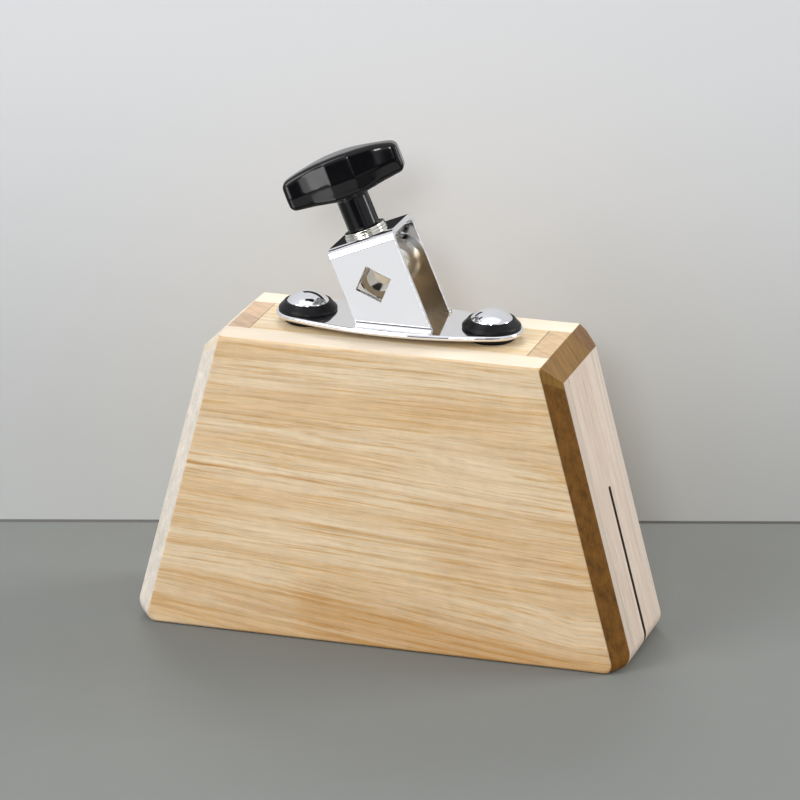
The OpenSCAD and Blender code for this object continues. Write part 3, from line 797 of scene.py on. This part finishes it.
# The rails' cut corners take the panel's colours, the left one painted pale as sheen.
for side, label, end_brown in ((-1, "left", (0.60, 0.41, 0.265)), (1, "right", (0.60, 0.42, 0.24))):
    dress(softened(label + "_rail", label + "_rail_strip", rail_edge_radius, reshape=open_slot),
          "block", label + "_rail",
          ash_finish(
              "ash_" + label + "_rail", turn=math.pi / 2 + side * side_lean, seed=5.0 + side,
              slope=(1.0, 0.04), ring_width=0.0021, waviness=0.0006,
              light=(0.722, 0.606, 0.508), dark=(0.656, 0.530, 0.430), streak=(0.59, 0.45, 0.35),
              line=(0.52, 0.385, 0.29), end=end_brown, slot_shade=slot_painted_shade, cut=panel_ends_with_left_sheen["Cut"]))

# Top board and bottom strips. 13 mm and 11 mm ash between the rails, grain
# across the block. The slot parts the bottom board into a front and a back strip.

# A dark glue line with painted shade of the gap, at the ends of the top board's top face.
gap_mark = (51.6 * mm, 51.85 * mm)
gap_top_mark = (112.2 * mm, 112.6 * mm)
glue_line_and_gap_shade = (0.22, 0.125, 0.05)

for node, seed in (("top_board", 9.0), ("bottom_strip_front", 11.0), ("bottom_strip_back", 12.0)):
    dress(softened(node, node + "_ash", lambda middle, direction: seam_edge, reshape=open_slot),
          "block", node,
          ash_finish("ash_" + node, seed=seed, slope=(1.0, 0.5), ring_width=0.0042, waviness=0.001,
                     light=(0.82, 0.70, 0.50), dark=(0.74, 0.58, 0.36), glue_and_gap_shade=glue_line_and_gap_shade))

# Base plate. 2 mm steel, stamped to a long lens with round ends, polished and
# chromed. Its rim is eased by the polishing.

plate_edge = 0.85 * mm

# Faint polishing haze and handling marks on bright metal.
polish_marks, given, gives = new_group(
    "polish_marks", [("Clean", "Float", 0.03), ("Hazy", "Float", 0.10)],
    [("Roughness", "Float"), ("Height", "Float")])
t = polish_marks
where = place_node(t, "ShaderNodeTexCoord").outputs["Object"]
haze = noise(t, scaled(t, where, (95, 95, 95)), 4, 0.6)
swirl = noise(t, scaled(t, where, (1400, 1400, 1400)), 2)
spread = maths(t, "SUBTRACT", given["Hazy"], given["Clean"])
t.links.new(maths(t, "ADD", given["Clean"], maths(
    t, "MULTIPLY", spread, ramp(t, haze, 0.42, 0.75))), gives["Roughness"])
t.links.new(maths(
    t, "ADD", maths(t, "MULTIPLY", haze, 0.7), maths(t, "MULTIPLY", swirl, 0.3)), gives["Height"])


def bright_metal(name, colour, clean=0.03, hazy=0.10, bump_height=0.00002):
    """Polished metal with its own colour and haze."""
    material, tree = empty_material(name)
    marks = place_group(tree, polish_marks, {"Clean": clean, "Hazy": hazy})
    bump = place_node(tree, "ShaderNodeBump", {
        "Height": marks["Height"], "Strength": 0.15, "Distance": bump_height})
    metal = place_node(tree, "ShaderNodeBsdfPrincipled", {
        "Base Color": (*colour, 1), "Metallic": 1.0, "Roughness": marks["Roughness"],
        "Normal": bump.outputs[0]})
    finish_material(tree, metal.outputs[0])
    return material


chrome = bright_metal("chrome", (0.90, 0.905, 0.93))
dress(softened(
    "base_plate", "base_plate_chromed", lambda middle, direction: plate_edge, 4, 40, clamped=False),
    "block", "base_plate", chrome)

# Rubber under and over the plate. Two spacers keep the plate off the wood, and
# a ring with a rounded shoulder lies under each bolt's head.


def rubber_finish(name, colour=(0.006, 0.006, 0.007), roughness=(0.3, 0.42)):
    """Black moulded rubber, a little shiny, with a fine moulded skin."""
    material, tree = empty_material(name)
    where = place_node(tree, "ShaderNodeTexCoord").outputs["Object"]
    skin = noise(tree, scaled(tree, where, (1800, 1800, 1800)), 2)
    bloom = noise(tree, scaled(tree, where, (160, 160, 160)), 3)
    tone = mix_colour(tree, ramp(tree, bloom, 0.35, 0.7), (*colour, 1), (*[1.6 * c for c in colour], 1))
    bump = place_node(tree, "ShaderNodeBump", {"Height": skin, "Strength": 0.2, "Distance": 0.00005})
    skin_shader = place_node(tree, "ShaderNodeBsdfPrincipled", {
        "Base Color": tone, "Roughness": ramp(tree, bloom, 0.3, 0.7, *roughness, "LINEAR"),
        "Specular IOR Level": 0.16, "Normal": bump.outputs[0]})
    finish_material(tree, skin_shader.outputs[0])
    return material


rubber = rubber_finish("black_rubber")
bolt_x = 34.5 * mm
plate_top = 117.3 * mm
spacer_profile = ((4, 0), (8.1, 0), (8.4, 0.3), (8.5, 1.1), (8.4, 2.0), (8.1, 2.3), (4, 2.3))
ring_profile = (
    (4, 0), (10.2, 0), (10.5, 0.12), (10.66, 0.4), (10.68, 0.8), (10.5, 1.2), (10.0, 1.75), (9.4, 2.35),
    (8.95, 2.85), (8.7, 3.2), (8.5, 3.42), (8.25, 3.5), (8.02, 3.4), (7.9, 3.15), (7.85, 2.85), (4, 2.8))
ring_steps = 96


def turned_ring(name, centre, profile):
    """A ring turned about an upright axis from an outline of radii and heights in millimetres."""
    corners = len(profile)
    places = [
        centre + mm * Vector((r * math.cos(a), r * math.sin(a), z))
        for a in (2 * math.pi * k / ring_steps for k in range(ring_steps)) for r, z in profile]
    faces = [
        (k * corners + i, (k + 1) % ring_steps * corners + i,
         (k + 1) % ring_steps * corners + (i + 1) % corners, k * corners + (i + 1) % corners)
        for k in range(ring_steps) for i in range(corners)]
    mesh = bpy.data.meshes.new(name)
    mesh.from_pydata(places, [], faces)
    mesh.shade_smooth()
    mesh.set_sharp_from_angle(angle=math.radians(40))
    made = bpy.data.objects.new(name, mesh)
    scene.collection.objects.link(made)
    return made


for side, label in ((-1, "left"), (1, "right")):
    for kind, height, profile in (
            ("plate_spacer_", block_h, spacer_profile), ("bolt_ring_", plate_top, ring_profile)):
        ring = turned_ring(kind + label + "_rubber", Vector((side * bolt_x, 0, height)), profile)
        dress(ring, "block", kind + label, rubber)

# Bolts and T-nuts. Smooth domed heads with no drive, chromed; the shanks go
# down through the board into T-nuts of bright zinc inside the chamber.

dome_edge = 0.3 * mm
zinc = bright_metal("zinc", (0.62, 0.62, 0.64), 0.25, 0.4, 0.00005)
for label in ("left", "right"):
    node = "dome_bolt_" + label
    dress(softened(node, node + "_chromed", lambda middle, direction: dome_edge, 3, 30),
          "block", node, chrome)
    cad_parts["t_nut_" + label].data.materials.clear()
    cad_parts["t_nut_" + label].data.materials.append(zinc)

# Clamp strap. 2 mm steel bent to an upside-down U and welded to the plate by
# its feet, with a square window on its corner in both walls; chromed. Its inside
# is painted with reflections, brown low down as of the wood and pale higher up.
# The weld beads are duller, with a painted shade line in the crease at their edge.

strap_edge = 0.25 * mm
outer_half_depth = 12.25 * mm
clamp_lean = math.radians(22.8)
clamp_up = Vector((-math.sin(clamp_lean), 0, math.cos(clamp_lean)))
strap_top = max(v.co.dot(clamp_up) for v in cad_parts["clamp_strap"].data.vertices)
pale_reflection_mark = (strap_top - 17 * mm, strap_top - 11 * mm)
weld_mark = (outer_half_depth + 0.02 * mm, outer_half_depth + 0.12 * mm)
weld_crease_mark = (outer_half_depth + 0.35 * mm, outer_half_depth + 0.55 * mm)


def strap_finish(name, bright=(0.90, 0.905, 0.93), pale=(0.80, 0.81, 0.84), low_painted_reflection=(0.56, 0.475, 0.36),
                 weld=(0.86, 0.865, 0.89), weld_crease_shade=(0.10, 0.10, 0.12)):
    """Chrome with painted reflections inside, dull weld beads and painted shade in the crease at their
    edge.
    """
    material, tree = empty_material(name)
    marks = place_group(tree, polish_marks, {"Clean": 0.03, "Hazy": 0.10})
    where = place_node(tree, "ShaderNodeTexCoord").outputs["Object"]
    side = place_node(tree, "ShaderNodeSeparateXYZ", {0: where}).outputs["Y"]
    depth = maths(tree, "ABSOLUTE", side)
    normal = place_node(tree, "ShaderNodeTexCoord").outputs["Normal"]
    outward = maths(tree, "MULTIPLY", maths(tree, "SIGN", side), place_node(
        tree, "ShaderNodeSeparateXYZ", {0: normal}).outputs["Y"])
    upward, climb = (
        place_node(tree, "ShaderNodeVectorMath", {
            0: vector, 1: tuple(clamp_up)}, operation="DOT_PRODUCT").outputs["Value"]
        for vector in (normal, where))
    inward = maths(tree, "MAXIMUM", ramp(tree, outward, -0.3, -0.6), ramp(tree, upward, -0.3, -0.6))
    # The inside is painted with reflections: brown of the wood low down, pale higher up.
    high_up = ramp(tree, climb, *pale_reflection_mark)
    inner_painted_reflection = mix_colour(tree, high_up, (*low_painted_reflection, 1), (*pale, 1))
    tone = mix_colour(tree, inward, (*bright, 1), inner_painted_reflection)
    on_weld = ramp(tree, depth, *weld_mark)
    tone = mix_colour(tree, on_weld, tone, (*weld, 1))
    # A dark line of painted shade in the crease at the weld bead's edge.
    weld_crease_line = maths(tree, "MULTIPLY", on_weld, ramp(tree, depth, *weld_crease_mark, 1.0, 0.0))
    tone = mix_colour(tree, weld_crease_line, tone, (*weld_crease_shade, 1))
    ripples = noise(tree, scaled(tree, where, (900, 200, 200)), 2)
    height = maths(tree, "ADD", marks["Height"], maths(tree, "MULTIPLY", on_weld, maths(
        tree, "MULTIPLY", ripples, 6.0)))
    bump = place_node(tree, "ShaderNodeBump", {"Height": height, "Strength": 0.15, "Distance": 0.00002})
    metal = place_node(tree, "ShaderNodeBsdfPrincipled", {
        "Base Color": tone, "Metallic": 1.0, "Normal": bump.outputs[0],
        "Roughness": maths(tree, "ADD", marks["Roughness"], maths(tree, "ADD", maths(
            tree, "MULTIPLY", on_weld, 0.18), maths(
                tree, "MULTIPLY", inward, mix_value(tree, high_up, 0.17, 0.02))))})
    finish_material(tree, metal.outputs[0])
    return material


dress(softened("clamp_strap", "clamp_strap_chromed", lambda middle, direction: strap_edge, 3, 30),
      "block", "clamp_strap", strap_finish("strap_chrome"))

# Eye bolt. A turned steel eye on an M6 stem, plated. It hangs in the strap by its
# stem, and the handle draws it up to grip the rod.

eye_steel = bright_metal("eye_steel", (0.62, 0.59, 0.53), 0.08, 0.18, 0.00003)
eye_edge = 0.2 * mm
dress(softened("eye_bolt", "eye_bolt_turned", lambda middle, direction: eye_edge, 2, 35),
      "eye", "eye_bolt", eye_steel)

# Washers. A plain steel washer on the strap and a split spring washer on top of
# it, both nickel plated, loose under the handle.

washer_edge = 0.22 * mm
nickel = bright_metal("nickel", (0.80, 0.78, 0.71), 0.10, 0.22, 0.00003)
for node in ("flat_washer", "spring_washer"):
    dress(softened(node, node + "_plated", lambda middle, direction: washer_edge, 3, 40),
          "block", node, nickel)

# T-handle. Glossy black plastic, moulded in one piece over a steel thread insert.
# The bar is widest at the mould's parting line and leans in above and below it, and
# its slopes run out in a curve.

handle_voxel = 0.28 * mm
bar_turn = math.radians(14.5)
bar_rise = 16.2 * mm
parting_h = 7 * mm
bar_draft = math.tan(math.radians(7))
hub_reach = 4.62 * mm
hub_half = 7.5 * mm
slope_reach = 17.5 * mm
slope_fall = 2.6 * mm
skin_drawn_in = 0.25 * mm
relief_kept = 0.8
fade_foot = 1.0 * mm
fade_height = 2.5 * mm
handle_smoothing = 24
# Places along half the bar, and half its depth there in the solids, in millimetres.
cad_bar = ((0, 7.5), (4.62, 7.5), (13.42, 4.8), (18.04, 4.8), (22.5, 5.25))
bar_along = Vector((math.cos(clamp_lean), 0, math.sin(clamp_lean))) * math.cos(bar_turn) + Vector(
    (0, math.sin(bar_turn), 0))
bar_across = clamp_up.cross(bar_along)


def plastic_finish(name, colour=(0.004, 0.004, 0.005)):
    """Black moulded plastic, glossy, with faint sink ripples and dust."""
    material, tree = empty_material(name)
    where = place_node(tree, "ShaderNodeTexCoord").outputs["Object"]
    ripple = noise(tree, scaled(tree, where, (140, 140, 140)), 2)
    dust = noise(tree, scaled(tree, where, (2600, 2600, 2600)), 2)
    tone = mix_colour(tree, ramp(tree, dust, 0.55, 0.8), (*colour, 1), (*[2.4 * c for c in colour], 1))
    bump = place_node(tree, "ShaderNodeBump", {"Height": ripple, "Strength": 0.12, "Distance": 0.0002})
    skin = place_node(tree, "ShaderNodeBsdfPrincipled", {
        "Base Color": tone, "Roughness": ramp(tree, ripple, 0.3, 0.7, 0.09, 0.16, "LINEAR"),
        "Specular IOR Level": 0.30, "Normal": bump.outputs[0]})
    finish_material(tree, skin.outputs[0])
    return material


def cad_half_depth(along):
    """Half depth of the bar as drawn in CAD, at a distance along it: hub, straight slope, grip, tip."""
    for (x0, w0), (x1, w1) in zip(cad_bar, cad_bar[1:]):
        if along <= x1 * mm:
            return (w0 + (w1 - w0) * (along / mm - x0) / (x1 - x0)) * mm
    return cad_bar[-1][1] * mm


def rounded_bar(places):
    """Lets the bar's straight slopes run out in a curve, as the mould's do."""
    along = [p.dot(bar_along) for p in places]
    across = [p.dot(bar_across) for p in places]
    up = [p.dot(clamp_up) for p in places]
    middle = (max(along) + min(along)) / 2
    centre = (max(across) + min(across)) / 2
    foot = max(up) - bar_rise
    moved = []
    for p, x, d, n in zip(places, along, across, up):
        x = abs(x - middle)
        d -= centre
        n -= foot
        fade = min(1, max(0, (n - fade_foot) / fade_height))
        flare = min(1, max(0, (x - hub_reach) / (slope_reach - hub_reach)))
        wanted = hub_half - slope_fall * math.sin(flare * math.pi / 2)
        relief = abs(n - parting_h) * bar_draft
        drawn = cad_half_depth(x) - relief
        eased = wanted - skin_drawn_in - relief_kept * relief
        moved.append(p + bar_across * d * fade * (eased / drawn - 1))
    return moved


def moulded(node, name, voxel, smoothing):
    """A copy of a CAD node with all its edges softly rounded."""
    solid = bmesh.new()
    solid.from_mesh(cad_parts[node].data)
    bmesh.ops.remove_doubles(solid, verts=solid.verts, dist=weld_gap)
    mesh = bpy.data.meshes.new(name)
    solid.to_mesh(mesh)
    solid.free()
    if "custom_normal" in mesh.attributes:
        mesh.attributes.remove(mesh.attributes["custom_normal"])
    made = bpy.data.objects.new(name, mesh)
    scene.collection.objects.link(made)
    skin = made.modifiers.new("moulded skin", "REMESH")
    skin.mode = "VOXEL"
    skin.voxel_size = voxel
    bpy.context.view_layer.update()
    mesh = bpy.data.meshes.new_from_object(made.evaluated_get(bpy.context.evaluated_depsgraph_get()))
    for vertex, place in zip(mesh.vertices, rounded_bar([v.co.copy() for v in mesh.vertices])):
        vertex.co = place
    mesh.shade_smooth()
    made.modifiers.clear()
    made.data = mesh
    soft = made.modifiers.new("soft edges", "SMOOTH")
    soft.factor = 0.5
    soft.iterations = smoothing
    return made


dress(moulded("t_handle", "t_handle_moulding", handle_voxel, handle_smoothing), "handle", "t_handle",
      plastic_finish("black_plastic"))

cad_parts["thread_insert"].data.materials.clear()
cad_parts["thread_insert"].data.materials.append(nickel)
